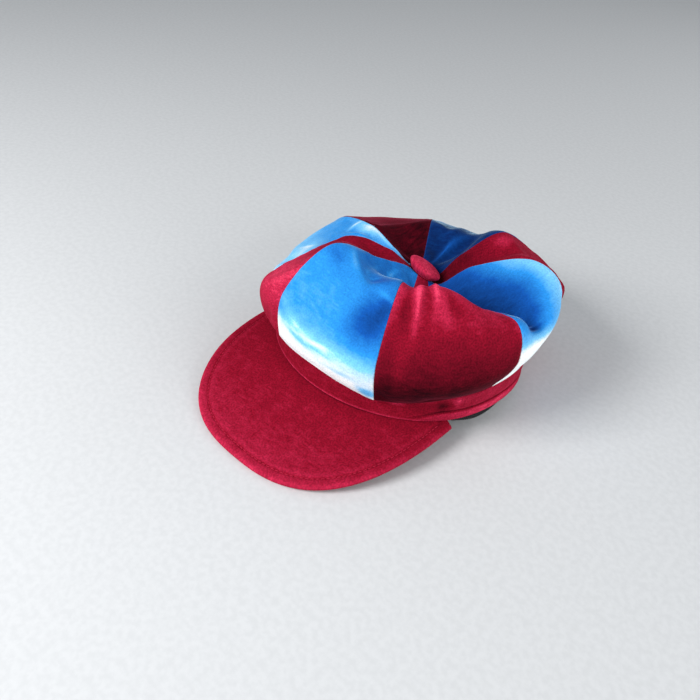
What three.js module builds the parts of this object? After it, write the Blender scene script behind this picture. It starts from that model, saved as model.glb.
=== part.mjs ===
// An eight-panel newsboy cap in two velvets, standing on the edge of its peak and the back of its headband.
// Millimetres, +Z up. The wearer faces -Y and has +X on the left. Bearings turn from the front to the left.
// The origin is the middle of the head opening, on the surface that the cap stands on.
import * as THREE from "three";
import { mergeVertices } from "three/addons/utils/BufferGeometryUtils.js";

// Driving dimensions
const GAP = 0.3; // left between neighbouring pieces
const VELVET = 2.0; // pile, ground cloth and backing together
const HEADBAND = { halfWidth: 94, halfLength: 91.5, height: 21, frontRim: 20.5, sideLift: 2, settled: 0.8 };
const LEFT_LIFT = { height: 5, bearing: 92, reach: 24 }; // a second bow of the headband, on the left
const ROLL = { height: 8, groove: 0.7, rounding: 0.3 }; // the headband's folded edge and its line
const SWEATBAND = { wall: 1.3, rise: 18.5, shows: 8.5, showsAt: 78, showsOver: 17 };
const PEAK = { halfWidth: 87, front: 161, rear: 47, roundness: 2.5, dish: 1.3, aside: -1.8 };
const PEAK_ENDS = { seam: 60, height: 15.5, curve: 3 }; // the seam's end, and the edge's rise to it
const PEAK_EDGE = 3.9; // thickness of the two covers, pressed flat where the edge rests
const BUTTON = { radius: 13, height: 8.5, lean: 32, leanBearing: 150 };
const CROWN = { x: 3, y: 10, z: 69, eye: 8.6, hollow: 16 }; // where the panels meet, round a small eye
const COLOUR = { blue: 0x1f6fc4, crimson: 0x8c0f24, black: 0x17161a };

// One row for each seam: the bearing where it leaves the headband and how far it swings round on its way to
// the button, its height in the hollow round the button and half way out to its crest, then the radius and
// height of the crest of its fold, of its widest point and of its lowest.
const SEAM_COLUMNS = [
  "bearing", "swing", "hollowZ", "midZ", "crestR", "crestZ", "wideR", "wideZ", "lowR", "lowZ",
];
const SEAMS = [
  [-23, -2, 79.5, 88.5, 72, 105, 104, 75, 107, 41],
  [28, -4.5, 65, 73, 62, 96.5, 104, 68, 104, 36],
  [77.5, 4, 62, 73, 94, 94, 107.5, 73, 98, 48],
  [122, -9, 66, 87.5, 72, 103, 96, 85, 90, 44],
  [157, -3, 66.5, 81.5, 63, 94, 101, 64, 100, 43],
  [204, 4, 66.5, 73.5, 57, 80, 99, 56, 101, 44],
  [250, 2, 69.5, 73, 63, 76, 100, 62, 100, 43],
  [296, 2, 79, 85, 55, 88, 95, 59, 112, 41],
].map((row) => Object.fromEntries(row.map((value, column) => [SEAM_COLUMNS[column], value])));

// One row for each panel, from its seam in the same row to the next: how far its middle dips below the
// crests, puffs out and lifts at the widest point, and sags and tucks in at the lowest.
const PANELS = [
  { name: "front", velvet: "blue", dip: 4, puff: 4, lift: -4, sag: -4, tuck: 0 },
  { name: "front_left", velvet: "crimson", dip: -11, puff: 5, lift: -4, sag: 2, tuck: -1 },
  { name: "left", velvet: "blue", dip: 14, puff: 0, lift: -2, sag: 1, tuck: -4 },
  { name: "back_left", velvet: "crimson", dip: 7, puff: 2, lift: -3, sag: 2, tuck: -1 },
  { name: "back", velvet: "blue", dip: 10, puff: 4, lift: -5, sag: 2, tuck: 0 },
  { name: "back_right", velvet: "crimson", dip: 6, puff: 4, lift: -3, sag: 2, tuck: 0 },
  { name: "right", velvet: "blue", dip: 7, puff: 3, lift: -5, sag: 2, tuck: 0 },
  { name: "front_right", velvet: "crimson", dip: 6, puff: 9, lift: -2, sag: 2, tuck: 2 },
];

// One row for each dent or soft fold: its panel, its place across the panel and down from the button, its
// depth (a fold stands up where this is negative), and its reach both ways as shares of the panel.
const DENTS = [
  { panel: "left", across: 0.3, down: 0.5, depth: 16, wide: 0.2, long: 0.16 },
  { panel: "front", across: 0.82, down: 0.56, depth: 5, wide: 0.14, long: 0.13 },
  { panel: "back", across: 0.3, down: 0.25, depth: 5, wide: 0.16, long: 0.12 },
  { panel: "back", across: 0.62, down: 0.33, depth: -4, wide: 0.1, long: 0.16 },
  { panel: "right", across: 0.42, down: 0.36, depth: -4, wide: 0.1, long: 0.14 },
  { panel: "right", across: 0.68, down: 0.4, depth: 6, wide: 0.14, long: 0.14 },
];

// The button's outline from its seat to its top, as shares of its radius and height
const BUTTON_OUTLINE = [
  { radius: 0.69, height: 0 },
  { radius: 0.95, height: 0.4 },
  { radius: 0.96, height: 0.68 },
  { radius: 0.62, height: 0.88 },
  { radius: 0, height: 1 },
];

// Faces across and along each sheet, and round each turned piece
const PANEL_GRID = { across: 8, along: 25 };
const PEAK_GRID = { across: 26, along: 9, crowd: 1.4 }; // rows crowd towards the edge
const RING_STEPS = 72;
const BUTTON_GRID = { rings: 8, around: 22 };
const WELD = 1e-4; // vertices this close are one

const { lerp, degToRad } = THREE.MathUtils;
const QUARTER_TURN = Math.PI / 2;
const bell = (offset, reach) => Math.exp(-((offset / reach) ** 2));

function velvet(colour) {
  return new THREE.MeshStandardMaterial({ color: COLOUR[colour], roughness: 0.9, metalness: 0 });
}

function piece(name, geometry, colour) {
  const mesh = new THREE.Mesh(geometry, velvet(colour));
  mesh.name = name;
  return mesh;
}

// Moves every vertex of a shape, then joins the ones that meet so that the skin is closed.
function reshape(geometry, place) {
  const position = geometry.getAttribute("position");
  const vertex = new THREE.Vector3();
  for (let i = 0; i < position.count; i += 1) {
    place(vertex.fromBufferAttribute(position, i));
    position.setXYZ(i, vertex.x, vertex.y, vertex.z);
  }
  geometry.deleteAttribute("normal");
  geometry.deleteAttribute("uv");
  const closed = mergeVertices(geometry, WELD);
  closed.computeVertexNormals();
  return closed;
}

// A sheet of cloth: a box one layer deep whose across, along and depth run from 0 to 1.
function sheet(grid, place) {
  const box = new THREE.BoxGeometry(1, 1, 1, grid.across, grid.along, 1).translate(0.5, 0.5, 0.5);
  return reshape(box, place);
}

// A band round the head: a closed section of points (wall share, height) turned once and laid on the oval.
function ring(section, place) {
  const axis = 2; // keeps the section off the axis while it is turned
  const profile = section.map(([share, height]) => new THREE.Vector2(axis + share, height));
  const turned = new THREE.LatheGeometry([...profile, profile[0]], RING_STEPS);
  return reshape(turned, (vertex) => {
    const bearing = Math.atan2(vertex.x, vertex.z);
    const share = Math.hypot(vertex.x, vertex.z) - axis;
    place(vertex, bearing, share, vertex.y);
  });
}

// The headband's outer face on the oval, a distance in from it
function onOval(bearing, inward) {
  const x = (HEADBAND.halfWidth - inward) * Math.sin(bearing);
  const y = -(HEADBAND.halfLength - inward) * Math.cos(bearing);
  return new THREE.Vector2(x, y);
}

// The headband's lower rim: high over the peak, bowed up at the sides, settled flat at the back
function rimHeight(bearing) {
  const back = (1 - Math.cos(bearing)) / 2;
  const bow = HEADBAND.sideLift * 4 * back * (1 - back);
  const left = LEFT_LIFT.height * bell(bearing - degToRad(LEFT_LIFT.bearing), degToRad(LEFT_LIFT.reach));
  return Math.max(0, HEADBAND.frontRim * (1 - back) + bow + left - HEADBAND.settled);
}

function headband() {
  const soft = ROLL.rounding / VELVET;
  const section = [
    [0, 0],
    [1 - soft, 0],
    [1, ROLL.height / 2],
    [1 - ROLL.groove / VELVET, ROLL.height],
    [1, (ROLL.height + HEADBAND.height) / 2],
    [1 - soft, HEADBAND.height],
    [0, HEADBAND.height],
  ];
  return ring(section, (vertex, bearing, share, height) => {
    const plan = onOval(bearing, VELVET * (1 - share));
    vertex.set(plan.x, plan.y, rimHeight(bearing) + height);
  });
}

// The black band inside, which slips out below the headband on the wearer's left
function sweatband() {
  const section = [[0, 0], [1, 0], [1, 1], [0, 1]];
  const outside = VELVET + GAP;
  const foot = (bearing) => {
    const offset = bearing - degToRad(SWEATBAND.showsAt);
    const slip = SWEATBAND.shows * bell(offset, degToRad(SWEATBAND.showsOver));
    return Math.max(0, rimHeight(bearing) - slip);
  };
  return ring(section, (vertex, bearing, share, height) => {
    const plan = onOval(bearing, outside + SWEATBAND.wall * (1 - share));
    const low = foot(bearing);
    const high = rimHeight(bearing) + SWEATBAND.rise;
    vertex.set(plan.x, plan.y, lerp(low, high, height));
  });
}

// The ring that the panels leave round the button's seat, lower on the side that the button leans to
function eyeHeight(bearing) {
  const slope = Math.tan(degToRad(BUTTON.lean));
  return CROWN.z - CROWN.eye * slope * Math.cos(bearing - degToRad(BUTTON.leanBearing));
}

// One section of a panel, from the headband up over the crest and down to the button, part way across it
function panelSection(index, across) {
  const panel = PANELS[index];
  const right = SEAMS[index];
  const left = SEAMS[(index + 1) % SEAMS.length];
  const between = (column) => lerp(right[column], left[column], across);
  const turn = left.bearing < right.bearing ? 360 : 0;
  const seat = degToRad(lerp(right.bearing, left.bearing + turn, across));
  const swing = degToRad(between("swing"));
  const swell = Math.sin(Math.PI * across);
  const dip = panel.dip * swell * swell;

  const hem = onOval(seat, 0);
  const hemR = Math.hypot(hem.x - CROWN.x, hem.y - CROWN.y) + GAP;
  const hemZ = rimHeight(seat) + HEADBAND.height + GAP;
  const bearing = Math.atan2(hem.x - CROWN.x, CROWN.y - hem.y);
  const crestR = between("crestR");
  const curve = new THREE.SplineCurve([
    new THREE.Vector2(hemR, hemZ),
    new THREE.Vector2(between("lowR") + panel.tuck * swell, between("lowZ") - panel.sag * swell),
    new THREE.Vector2(between("wideR") + panel.puff * swell, between("wideZ") + panel.lift * swell),
    new THREE.Vector2(crestR, between("crestZ") - dip),
    new THREE.Vector2(crestR / 2, between("midZ") - dip),
    new THREE.Vector2(CROWN.hollow, between("hollowZ")),
    new THREE.Vector2(CROWN.eye, eyeHeight(bearing + swing)),
  ]);
  const dents = DENTS.filter((dent) => dent.panel === panel.name);
  const dentAt = (dent, down) =>
    dent.depth * bell(across - dent.across, dent.wide) * bell(down - dent.down, dent.long);
  const depthAt = (down) => dents.reduce((sum, dent) => sum + dentAt(dent, down), 0);

  return (along, depth) => {
    const point = curve.getPointAt(along);
    const tangent = curve.getTangentAt(along);
    const inward = VELVET * (1 - depth) + depthAt(1 - along) * swell;
    const r = point.x - tangent.y * inward;
    const z = point.y + tangent.x * inward;
    return { r, z, bearing: bearing + swing * along };
  };
}

function crownPanel(index) {
  const columns = PANEL_GRID.across;
  const sections = Array.from({ length: columns + 1 }, (_, i) => panelSection(index, i / columns));
  return sheet(PANEL_GRID, (vertex) => {
    const { x: across, y: along, z: depth } = vertex;
    const { r, z, bearing } = sections[Math.round(across * columns)](along, depth);
    const inset = (GAP / 2) * (across === 0 ? 1 : across === 1 ? -1 : 0);
    const x = CROWN.x + r * Math.sin(bearing) + inset * Math.cos(bearing);
    const y = CROWN.y - r * Math.cos(bearing) + inset * Math.sin(bearing);
    vertex.set(x, y, z);
  });
}

// The peak's upper face: across from its right end to its left, along from the headband out to its edge
function peakFace(across, along) {
  const turn = (across * 2 - 1) * QUARTER_TURN;
  const power = 2 / PEAK.roundness;
  const side = Math.abs(Math.sin(turn));
  const bearing = degToRad((across * 2 - 1) * PEAK_ENDS.seam);
  const seam = onOval(bearing, VELVET / 2);
  const seamZ = rimHeight(bearing) - GAP;
  const edgeX = PEAK.aside + PEAK.halfWidth * Math.sign(turn) * side ** power;
  const edgeY = -PEAK.rear - (PEAK.front - PEAK.rear) * Math.cos(turn) ** power;
  const edgeZ = lerp(PEAK_EDGE, PEAK_ENDS.height, side ** PEAK_ENDS.curve);
  const drop = 1 - (1 - along) ** PEAK.dish;
  return new THREE.Vector3(
    lerp(seam.x, edgeX, along),
    lerp(seam.y, edgeY, along),
    lerp(seamZ, edgeZ, drop),
  );
}

// One cover of the peak, whose upper face lies a depth below the peak's own
function peakCover(below) {
  return sheet(PEAK_GRID, (vertex) => {
    const depth = below + VELVET * (1 - vertex.z);
    const face = peakFace(vertex.x, 1 - vertex.y ** PEAK_GRID.crowd);
    vertex.copy(face).setZ(Math.max(face.z - depth, 0));
  });
}

function topButton() {
  const corners = BUTTON_OUTLINE.map(
    (row) => new THREE.Vector2(row.radius * BUTTON.radius, row.height * BUTTON.height),
  );
  const side = new THREE.SplineCurve(corners).getPoints(BUTTON_GRID.rings);
  const outline = [new THREE.Vector2(0, 0), ...side];
  const turned = new THREE.LatheGeometry(outline, BUTTON_GRID.around).rotateX(QUARTER_TURN);
  return reshape(turned, () => {});
}

const cap = new THREE.Group();
PANELS.forEach((panel, index) => {
  cap.add(piece(`crown_panel_${panel.name}`, crownPanel(index), panel.velvet));
});
cap.add(piece("headband", headband(), "crimson"));
cap.add(piece("sweatband", sweatband(), "black"));
cap.add(piece("peak_top", peakCover(0), "crimson"));
cap.add(piece("peak_under", peakCover(VELVET + GAP), "crimson"));

const button = piece("top_button", topButton(), "crimson");
const lean = degToRad(BUTTON.lean);
const leanBearing = degToRad(BUTTON.leanBearing);
const faces = new THREE.Vector3(
  Math.sin(lean) * Math.sin(leanBearing),
  -Math.sin(lean) * Math.cos(leanBearing),
  Math.cos(lean),
);
button.quaternion.setFromUnitVectors(new THREE.Vector3(0, 0, 1), faces);
button.position.set(CROWN.x, CROWN.y, CROWN.z).addScaledVector(faces, GAP);
cap.add(button);

export default cap;
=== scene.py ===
# %% [markdown]
# A soft velvet cap, sewn from eight puffed panels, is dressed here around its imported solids.
# The solids are the frame: they say where each piece lies, and nothing in this lesson moves them.
# Every new piece is modelled in the same frame, in metres, and then stands for the solid of its name.

import math

import bmesh
import bpy
import numpy as np
from mathutils import Matrix, Vector, noise
from mathutils.bvhtree import BVHTree


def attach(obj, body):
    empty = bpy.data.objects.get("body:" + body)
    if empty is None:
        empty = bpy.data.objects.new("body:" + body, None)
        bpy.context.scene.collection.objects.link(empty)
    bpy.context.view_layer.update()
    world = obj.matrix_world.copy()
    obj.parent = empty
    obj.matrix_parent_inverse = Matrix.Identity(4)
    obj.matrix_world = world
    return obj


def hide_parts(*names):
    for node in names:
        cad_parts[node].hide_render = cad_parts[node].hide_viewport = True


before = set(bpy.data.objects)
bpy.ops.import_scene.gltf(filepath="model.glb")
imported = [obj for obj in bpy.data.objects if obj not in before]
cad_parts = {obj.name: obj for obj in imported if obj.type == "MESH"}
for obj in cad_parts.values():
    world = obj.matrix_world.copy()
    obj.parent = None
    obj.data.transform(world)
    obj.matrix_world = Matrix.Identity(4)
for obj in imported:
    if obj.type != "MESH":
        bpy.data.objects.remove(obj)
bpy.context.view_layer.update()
MM = 0.001

# %% [markdown]
# The camera comes first, because every later choice is judged through it.
# It stands in front of the cap, to the wearer's left, and looks down at 40 degrees with a slight roll.
# The lens follows from a focal length in pixels, so it needs no guess about the sensor.

# %% Camera at the photograph's angle
FRAME_PIXELS = 700
FOCAL_PIXELS = 716
CAMERA = {"azimuth": 38.1, "elevation": 40.0, "roll": 6.9, "distance": 0.4987}
CAMERA_TARGET = Vector((-0.0012, -0.0555, 0.0307))


def look_from(azimuth, elevation):
    """The unit vector from the cap towards a viewer at that bearing and height."""
    a, e = math.radians(azimuth), math.radians(elevation)
    return Vector((math.sin(a) * math.cos(e), -math.cos(a) * math.cos(e), math.sin(e)))


back = look_from(CAMERA["azimuth"], CAMERA["elevation"])
turn, roll = math.radians(CAMERA["azimuth"]), math.radians(CAMERA["roll"])
level = Vector((math.cos(turn), math.sin(turn), 0))
upright = back.cross(level)
right = math.cos(roll) * level + math.sin(roll) * upright
up = back.cross(right)
camera = bpy.data.objects.new("camera", bpy.data.cameras.new("camera"))
camera.data.sensor_width = 36
camera.data.lens = camera.data.sensor_width * FOCAL_PIXELS / FRAME_PIXELS
camera.data.clip_start = 0.01
camera.matrix_world = Matrix.Translation(CAMERA_TARGET + back * CAMERA["distance"]) @ (
    Matrix((right, up, back)).transposed().to_4x4()
)
bpy.context.scene.collection.objects.link(camera)
bpy.context.scene.camera = camera
print("camera at", [round(x, 3) for x in camera.matrix_world.translation],
      "lens", round(camera.data.lens, 1))

# %% [markdown]
# Velvet shows its form by its sheen, so the light matters as much as the cloth.
# A wide soft lamp from the upper left shapes the panels, and weaker ones open the shadows.
# The pale floor throws light up under the overhanging crown, as a table does.
# One helper puts a finished bmesh into the scene, here for the floor and later for every piece.

# %% Floor and studio light
LAMPS_LOOK_AT = Vector((0, -0.02, 0.05))
SKY = {"colour": (0.9, 0.95, 1.0), "strength": 0.34}
FLOOR_REACH = 4


def soft_lamp(name, azimuth, elevation, distance, size, power):
    """A square lamp that looks at the cap from a bearing and a height."""
    lamp = bpy.data.objects.new(name, bpy.data.lights.new(name, "AREA"))
    lamp.data.size = size
    lamp.data.energy = power
    towards = look_from(azimuth, elevation)
    lamp.location = LAMPS_LOOK_AT + towards * distance
    lamp.rotation_mode = "QUATERNION"
    lamp.rotation_quaternion = towards.to_track_quat("Z", "Y")
    bpy.context.scene.collection.objects.link(lamp)


def into_scene(name, bm):
    """An object in the scene made of a bmesh, which is then freed."""
    mesh = bpy.data.meshes.new(name)
    bm.to_mesh(mesh)
    bm.free()
    made = bpy.data.objects.new(name, mesh)
    bpy.context.scene.collection.objects.link(made)
    return made


soft_lamp("key_lamp", azimuth=-20, elevation=36, distance=1.2, size=0.5, power=15)
soft_lamp("fill_lamp", azimuth=92, elevation=18, distance=1.5, size=1.2, power=14)
soft_lamp("back_lamp", azimuth=150, elevation=28, distance=1.5, size=1.0, power=5)

world = bpy.data.worlds.new("studio")
world.use_nodes = True
sky = world.node_tree.nodes["Background"]
sky.inputs["Color"].default_value = (*SKY["colour"], 1)
sky.inputs["Strength"].default_value = SKY["strength"]
bpy.context.scene.world = world
bpy.context.scene.view_settings.view_transform = "Standard"

bm = bmesh.new()
bmesh.ops.create_grid(bm, x_segments=2, y_segments=2, size=FLOOR_REACH)
floor = into_scene("floor", bm)

# %% [markdown]
# A node material is a small graph, and four helpers keep it readable.
# One adds a node and fills its sockets, with a link where it is given an output of another node.
# One makes a noise with patches of a real size, and one spreads the usual span of a noise over a new range.
# The last starts a material and hands over its main shader.

# %% Helpers for node graphs
NOISE_SPAN = (0.3, 0.7)


def add(tree, kind, inputs=(), **settings):
    """A node of that kind: settings are its properties, and inputs its sockets, by name or number."""
    made = tree.nodes.new("ShaderNode" + kind)
    for key, value in settings.items():
        setattr(made, key, value)
    for key, value in dict(inputs).items():
        if isinstance(value, bpy.types.NodeSocket):
            tree.links.new(value, made.inputs[key])
        else:
            made.inputs[key].default_value = value
    return made


def patches(tree, coordinates, size, stretch=(1, 1, 1), detail=2.0):
    """Noise whose patches are about size metres wide, drawn out along the cloth by stretch."""
    scale = [1 / (size * s) for s in stretch]
    spread = add(tree, "Mapping", {"Vector": coordinates, "Scale": scale}).outputs[0]
    return add(tree, "TexNoise", {"Vector": spread, "Scale": 1.0, "Detail": detail}).outputs["Fac"]


def spread_over(tree, value, low=0.0, high=1.0):
    """The usual span of a noise, eased onto a range from low to high."""
    ranges = {"Value": value, "To Min": low, "To Max": high}
    ranges["From Min"], ranges["From Max"] = NOISE_SPAN
    return add(tree, "MapRange", ranges, interpolation_type="SMOOTHSTEP").outputs["Result"]


def new_finish(name):
    """An empty material, its tree, and the main shader in it."""
    finish = bpy.data.materials.new(name)
    finish.use_nodes = True
    return finish, finish.node_tree, finish.node_tree.nodes["Principled BSDF"]


print("helpers ready")

# %% [markdown]
# Velvet is a dense pile of short fibres that all lean one way, and stroking lays them another. Where the
# eye looks down between them the cloth is deep, and where it meets their shining sides it is pale.
# Each point of a piece carries one number, its lift: 0 is deep, a half is plain and 1 is pale. Its pale and
# deep are partly the pile's own lean and partly painted light: the sheen of the fibres' sides at a grazing
# angle and the shade in hollows are painted into the colour. A ramp turns it into colour, and strokes,
# crushed spots and tufts break it up.
# The shader's own sheen adds the glow of the fibre tips along every edge.

# %% Velvet, front and back
PILE_SIZES = {"stroke": 0.0024, "crushed": 0.010, "tuft": 0.0012}
STROKE_STRETCH = (1, 2.5, 1)
WEAVE = {"scale": 320.0, "shade": 0.55}


def mixed(tree, factor, first, second):
    """A colour between two others, either of which may be a link."""
    return add(tree, "Mix", {0: factor, 6: first, 7: second}, data_type="RGBA").outputs[2]


def ramped(tree, value, stops):
    """A colour that runs through the stops, which are (place, colour) pairs."""
    ramp = add(tree, "ValToRGB", {"Fac": value})
    while len(ramp.color_ramp.elements) < len(stops):
        ramp.color_ramp.elements.new(0.5)
    for element, (place, colour) in zip(ramp.color_ramp.elements, stops):
        element.position = place
        element.color = (*colour, 1)
    return ramp.outputs[0]


def velvet(name, tones, strokes, crushed, grain, sheen, sheen_tint):
    """Pile whose colour follows its lift, painted sheen and shade included, through the tones, stirred by
    strokes, crushed spots and grain.
    """
    finish, tree, shader = new_finish(name)
    cloth = add(tree, "UVMap", uv_map="cloth").outputs[0]
    stroke_layer = patches(tree, cloth, PILE_SIZES["stroke"], stretch=STROKE_STRETCH, detail=3.0)
    crushed_layer = patches(tree, cloth, PILE_SIZES["crushed"], detail=4.0)
    tufts = patches(tree, cloth, PILE_SIZES["tuft"], detail=2.0)

    # The lift carries the pile's own tone together with painted sheen and painted shade.
    lift = add(tree, "Attribute", attribute_name="lift").outputs["Fac"]
    for layer, share in ((stroke_layer, strokes), (crushed_layer, crushed)):
        off_middle = add(tree, "Math", {0: layer, 1: 0.5}, operation="SUBTRACT").outputs[0]
        lift = add(tree, "Math", {0: off_middle, 1: share, 2: lift}, operation="MULTIPLY_ADD").outputs[0]
    ground = ramped(tree, lift, tones)
    shade = spread_over(tree, tufts, 1 - grain, 1 + grain)
    colour = add(tree, "Mix", {0: 1.0, 6: ground, 7: shade}, data_type="RGBA", blend_type="MULTIPLY")
    tree.links.new(colour.outputs[2], shader.inputs["Base Color"])

    height = add(tree, "Math", {0: stroke_layer, 1: 0.5, 2: tufts}, operation="MULTIPLY_ADD").outputs[0]
    bump = add(tree, "Bump", {"Height": height, "Strength": 0.35, "Distance": 0.0008})
    tree.links.new(bump.outputs[0], shader.inputs["Normal"])
    shader.inputs["Roughness"].default_value = 0.9
    shader.inputs["Specular IOR Level"].default_value = 0.05
    shader.inputs["Sheen Weight"].default_value = sheen
    shader.inputs["Sheen Roughness"].default_value = 0.3
    shader.inputs["Sheen Tint"].default_value = (*sheen_tint, 1)
    return finish


def velvet_back(name, colour):
    """The woven ground on the wrong side: fine threads both ways, matt."""
    finish, tree, shader = new_finish(name)
    cloth = add(tree, "UVMap", uv_map="cloth").outputs[0]
    warp, weft = (
        add(tree, "TexWave", {"Vector": cloth, "Scale": WEAVE["scale"]}, bands_direction=way).outputs["Fac"]
        for way in ("X", "Y")
    )
    weave = add(tree, "Math", {0: warp, 1: weft}, operation="MULTIPLY").outputs[0]
    darker = tuple(c * WEAVE["shade"] for c in colour)
    tree.links.new(mixed(tree, weave, (*darker, 1), (*colour, 1)), shader.inputs["Base Color"])
    bump = add(tree, "Bump", {"Height": weave, "Strength": 0.4, "Distance": 0.0002})
    tree.links.new(bump.outputs[0], shader.inputs["Normal"])
    shader.inputs["Roughness"].default_value = 0.9
    return finish


blue_velvet = velvet(
    "blue_velvet",
    tones=((0, (0.002, 0.018, 0.1)), (0.25, (0.006, 0.09, 0.4)), (0.5, (0.024, 0.27, 0.73)),
           (0.75, (0.2, 0.58, 0.94)), (1, (0.95, 1, 1))),
    strokes=0.12,
    crushed=0.14,
    grain=0.12,
    sheen=0.4,
    sheen_tint=(0.55, 0.85, 1.0),
)
crimson_velvet = velvet(
    "crimson_velvet",
    tones=((0, (0.018, 0.0003, 0.0025)), (0.5, (0.235, 0.0036, 0.0175)), (0.75, (0.45, 0.016, 0.055)),
           (1, (1, 0.075, 0.17))),
    strokes=0.26,
    crushed=0.2,
    grain=0.26,
    sheen=0.2,
    sheen_tint=(1.0, 0.1, 0.22),
)
blue_back = velvet_back("blue_velvet_back", (0.05, 0.16, 0.38))
crimson_back = velvet_back("crimson_velvet_back", (0.26, 0.03, 0.06))
VELVETS = {"blue": (blue_velvet, blue_back), "crimson": (crimson_velvet, crimson_back)}
print("velvets:", [pair[0].name for pair in VELVETS.values()])

# %% [markdown]
# The other finishes are small: a ribbed black ribbon inside, the sewing thread, and the floor.
# The ribbon and the thread have modelled ribs and stitches, so their materials only add fibre.

# %% Ribbon, thread and floor
def fibre_finish(name, dark, light, grain, roughness):
    """A plain fibre surface whose colour and height vary with a fine grain."""
    finish, tree, shader = new_finish(name)
    place = add(tree, "TexCoord").outputs["Object"]
    speckle = patches(tree, place, grain, detail=3.0)
    colour = mixed(tree, spread_over(tree, speckle), (*dark, 1), (*light, 1))
    tree.links.new(colour, shader.inputs["Base Color"])
    bump = add(tree, "Bump", {"Height": speckle, "Strength": 0.25, "Distance": 0.0002})
    tree.links.new(bump.outputs[0], shader.inputs["Normal"])
    shader.inputs["Roughness"].default_value = roughness
    shader.inputs["Specular IOR Level"].default_value = 0.15
    return finish


black_ribbon = fibre_finish("black_ribbon", (0.004, 0.004, 0.005), (0.022, 0.022, 0.024), 0.0009, 0.6)
crimson_thread = fibre_finish("crimson_thread", (0.34, 0.008, 0.032), (0.52, 0.02, 0.06), 0.0006, 0.7)
pale_floor = fibre_finish("pale_floor", (0.60, 0.61, 0.62), (0.64, 0.65, 0.66), 0.004, 0.7)
floor.data.materials.append(pale_floor)
print("small finishes:", [m.name for m in (black_ribbon, crimson_thread, pale_floor)])

# %% [markdown]
# The cap's main sizes repeat the ones that its solids were built from, in millimetres.
# Bearings turn from the front, where the peak is, to the wearer's left. The headband is an oval whose rim
# is high over the peak and settles flat at the back.

# %% The headband's oval and rim
GAP = 0.3
WALL = 2.0
BAND = {"half_width": 94, "half_length": 91.5, "height": 21}
RIM = {"front": 20.5, "side_lift": 2, "settled": 0.8}
LEFT_LIFT = {"height": 5, "bearing": 92, "reach": 24}


def bell(offset, reach):
    """1 where the offset is 0, falling off smoothly over the reach."""
    return np.exp(-((offset / reach) ** 2))


def smooth(value):
    """Eases a share from 0 to 1, and holds it there beyond them."""
    t = np.clip(value, 0, 1)
    return t * t * (3 - 2 * t)


def on_oval(bearing, inward=0.0):
    """Plan of the headband's outer face, or of a line inside it."""
    x = (BAND["half_width"] - inward) * np.sin(bearing)
    y = -(BAND["half_length"] - inward) * np.cos(bearing)
    return x, y


def rim_height(bearing):
    """Height of the headband's lower edge above the table."""
    bearing = np.arctan2(np.sin(bearing), np.cos(bearing))
    behind = (1 - np.cos(bearing)) / 2
    bow = RIM["side_lift"] * 4 * behind * (1 - behind)
    offset = bearing - math.radians(LEFT_LIFT["bearing"])
    left = LEFT_LIFT["height"] * bell(offset, math.radians(LEFT_LIFT["reach"]))
    return np.maximum(0, RIM["front"] * (1 - behind) + bow + left - RIM["settled"])


print("rim at front, left, back in mm:",
      [round(float(rim_height(math.radians(b))), 1) for b in (0, 90, 180)])

# %% [markdown]
# Each seam of the crown leaves the headband, bulges low, swells outward, folds over a crest and falls to
# the button. One row gives the radius and height of those turning points, and the heights half way in and
# in the hollow round the button. Between two seams a panel follows both, and its middle dips, puffs and
# sags by the amounts in its own row. The rows are the solids' own, so the velvet lies where they are.

# %% Seams and panels of the crown
CROWN = {"x": 3, "y": 10, "z": 69, "eye": 8.6, "hollow": 16}
BUTTON = {"radius": 13, "height": 8.5, "lean": 32, "lean_bearing": 150}


def table(columns, *rows):
    """Rows of values as dictionaries with named columns."""
    return [dict(zip(columns, row)) for row in rows]


SEAM_COLUMNS = (
    "bearing", "swing", "hollow_z", "mid_z", "crest_r", "crest_z", "wide_r", "wide_z", "low_r", "low_z"
)
SEAMS = table(
    SEAM_COLUMNS,
    (-23, -2, 79.5, 88.5, 72, 105, 104, 75, 107, 41),
    (28, -4.5, 65, 73, 62, 96.5, 104, 68, 104, 36),
    (77.5, 4, 62, 73, 94, 94, 107.5, 73, 98, 48),
    (122, -9, 66, 87.5, 72, 103, 96, 85, 90, 44),
    (157, -3, 66.5, 81.5, 63, 94, 101, 64, 100, 43),
    (204, 4, 66.5, 73.5, 57, 80, 99, 56, 101, 44),
    (250, 2, 69.5, 73, 63, 76, 100, 62, 100, 43),
    (296, 2, 79, 85, 55, 88, 95, 59, 112, 41),
)
PANEL_COLUMNS = ("name", "colour", "dip", "puff", "lift", "sag", "tuck")
PANELS = table(
    PANEL_COLUMNS,
    ("front", "blue", 4, 4, -4, -4, 0),
    ("front_left", "crimson", -11, 5, -4, 2, -1),
    ("left", "blue", 14, 0, -2, 1, -4),
    ("back_left", "crimson", 7, 2, -3, 2, -1),
    ("back", "blue", 10, 4, -5, 2, 0),
    ("back_right", "crimson", 6, 4, -3, 2, 0),
    ("right", "blue", 7, 3, -5, 2, 0),
    ("front_right", "crimson", 6, 9, -2, 2, 2),
)
print("panels:", ", ".join(p["name"] for p in PANELS))

# %% [markdown]
# A panel's section is a smooth curve through a few turning points, stepped evenly along its length.
# Blender has curve objects, but a small function keeps the section in numbers, for a grid to be laid on.

# %% A smooth section through turning points
FINE_STEPS = 400
TINY = 1e-9


def unit(vectors):
    """The vectors of an array, brought to length 1."""
    return vectors / np.maximum(np.linalg.norm(vectors, axis=-1, keepdims=True), TINY)


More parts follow.
